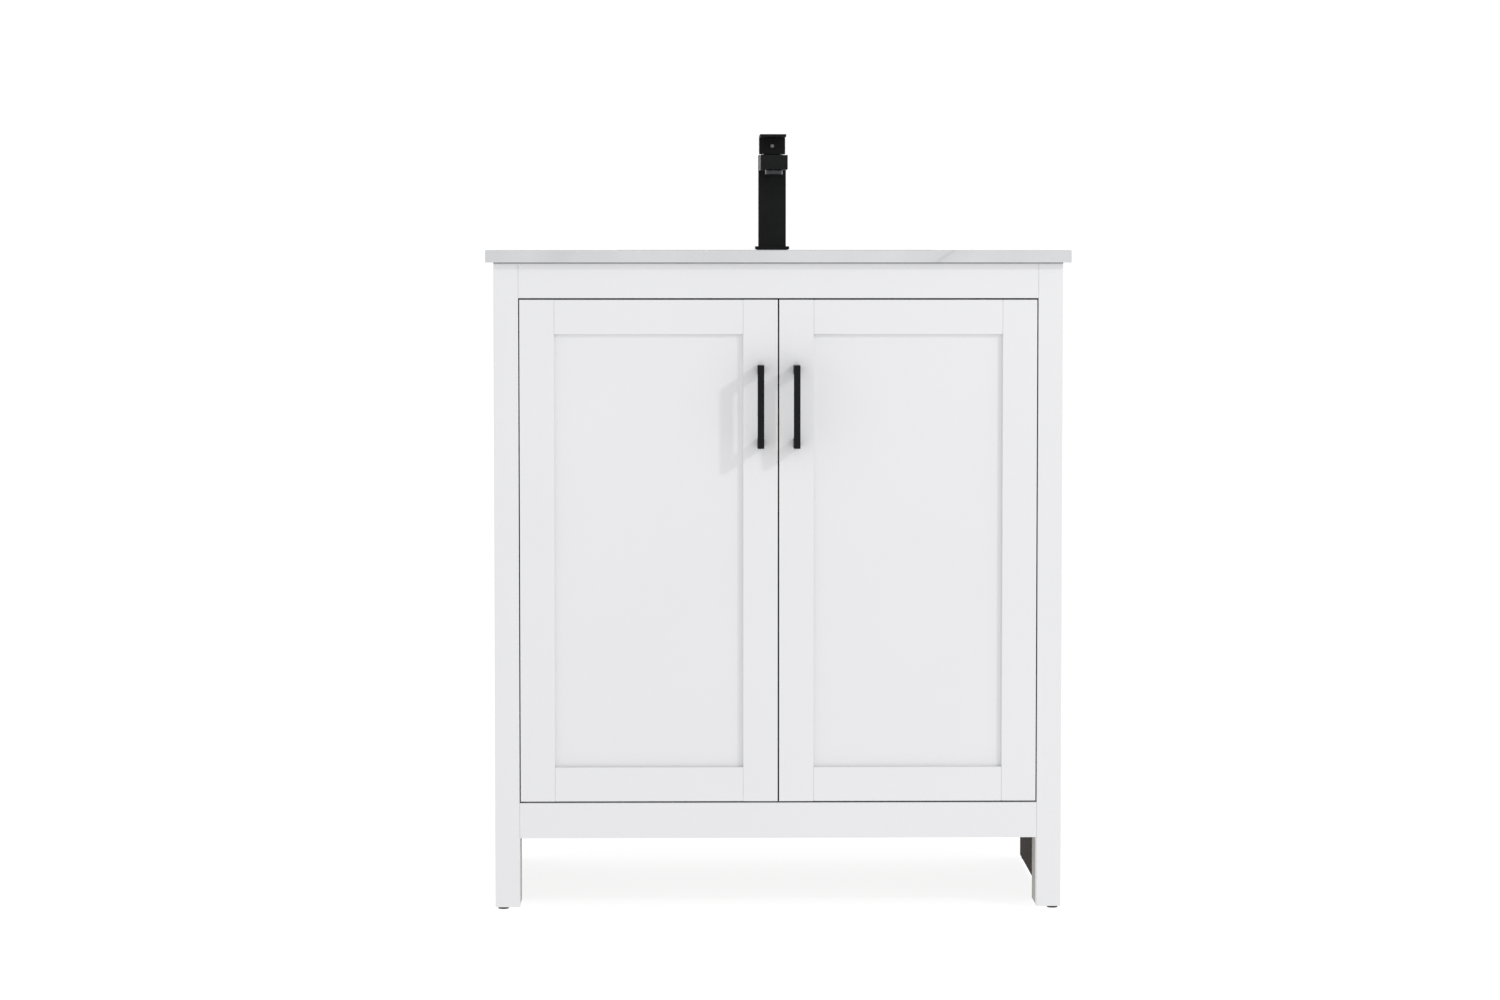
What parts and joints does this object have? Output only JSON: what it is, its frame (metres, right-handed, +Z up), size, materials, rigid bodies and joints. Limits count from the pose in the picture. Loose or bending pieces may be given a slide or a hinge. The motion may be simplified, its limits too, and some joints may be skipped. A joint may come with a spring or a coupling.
{
  "type": "bathroom vanity cabinet",
  "caption": "White shaker vanity cabinet with inset doors on hidden hinges, black bar pulls, a stone top, an undermount basin with drain, and a square black faucet.",
  "frame": {"origin": "on the floor, under the middle of the bounding box (door pulls to the counter's rear edge)", "axes": "+Z up, doors face -Y, +X to the right seen from the front"},
  "size_m": [0.762, 0.5056, 1.0227],
  "materials": {
    "painted_wood": "satin white paint",
    "raw_board": "sealed dark brown board",
    "stone": "polished, faint grey veins",
    "ceramic": "glossy white glaze",
    "chrome": "bright plated",
    "drain_metal": "satin",
    "rubber": "matte",
    "nut_plastic": "moulded",
    "black_metal": "matte black",
    "cartridge_plastic": "moulded",
    "plated_steel": "zinc plated",
    "bumper_plastic": "clear soft"
  },
  "bodies": {
    "cabinet": {"face_stile_left": "painted_wood", "face_stile_right": "painted_wood", "face_rail_top": "painted_wood", "face_rail_bottom": "painted_wood", "side_panel_left": "painted_wood", "side_panel_right": "painted_wood", "hinge_strip_left": "painted_wood", "hinge_strip_right": "painted_wood", "bottom_panel": "raw_board", "support_blocks": "raw_board", "front_stretcher": "raw_board", "back_rail": "raw_board", "back_panel": "raw_board", "counter_top": "stone", "basin": "ceramic", "overflow_ring": "chrome", "drain_flange": "chrome", "faucet_aerator": "chrome", "drain_body": "drain_metal", "drain_tailpiece": "drain_metal", "faucet_shank": "drain_metal", "faucet_inlets": "drain_metal", "faucet_cartridge_nut": "drain_metal", "drain_gasket": "rubber", "faucet_gasket": "rubber", "drain_locknut": "nut_plastic", "faucet_locknut": "nut_plastic", "floor_glides": "nut_plastic", "faucet_base_plate": "black_metal", "faucet_column": "black_metal", "faucet_spout": "black_metal", "faucet_cartridge": "cartridge_plastic", "basin_clips": "plated_steel", "faucet_washer": "plated_steel", "hinge_plates": "plated_steel", "hinge_arms": "plated_steel"},
    "left_door": {"left_door_stile_inner": "painted_wood", "left_door_stile_outer": "painted_wood", "left_door_rail_bottom": "painted_wood", "left_door_rail_top": "painted_wood", "left_door_panel": "painted_wood", "left_door_pull": "black_metal", "left_door_pull_screws": "plated_steel", "left_door_hinge_cups": "plated_steel", "left_door_bumpers": "bumper_plastic"},
    "right_door": {"right_door_stile_inner": "painted_wood", "right_door_stile_outer": "painted_wood", "right_door_rail_bottom": "painted_wood", "right_door_rail_top": "painted_wood", "right_door_panel": "painted_wood", "right_door_pull": "black_metal", "right_door_pull_screws": "plated_steel", "right_door_hinge_cups": "plated_steel", "right_door_bumpers": "bumper_plastic"},
    "faucet_turn": {"faucet_stem": "black_metal"},
    "faucet_lever": {"faucet_handle_block": "black_metal", "faucet_lever_plate": "black_metal", "faucet_handle_pin": "plated_steel", "faucet_index_button": "chrome"},
    "stopper": {"drain_stopper": "chrome"}
  },
  "joints": [
    {"name": "left_door_hinge", "type": "hinge", "parent": "cabinet", "child": "left_door", "pos_m": [-0.33825, -0.21775, 0.4708], "axis": [0, 0, -1], "range_deg": [0, 100]},
    {"name": "right_door_hinge", "type": "hinge", "parent": "cabinet", "child": "right_door", "pos_m": [0.33825, -0.21775, 0.4708], "axis": [0, 0, 1], "range_deg": [0, 100]},
    {"name": "temperature_turn", "type": "hinge", "parent": "cabinet", "child": "faucet_turn", "pos_m": [0, 0.19275, 0.996], "axis": [0, 0, 1], "range_deg": [-45, 45]},
    {"name": "lever_lift", "type": "hinge", "parent": "faucet_turn", "child": "faucet_lever", "pos_m": [0, 0.19275, 1.0076], "axis": [-1, 0, 0], "range_deg": [0, 20]},
    {"name": "stopper_lift", "type": "slide", "parent": "cabinet", "child": "stopper", "axis": [0, 0, 1], "range_m": [0, 0.009]}
  ]
}
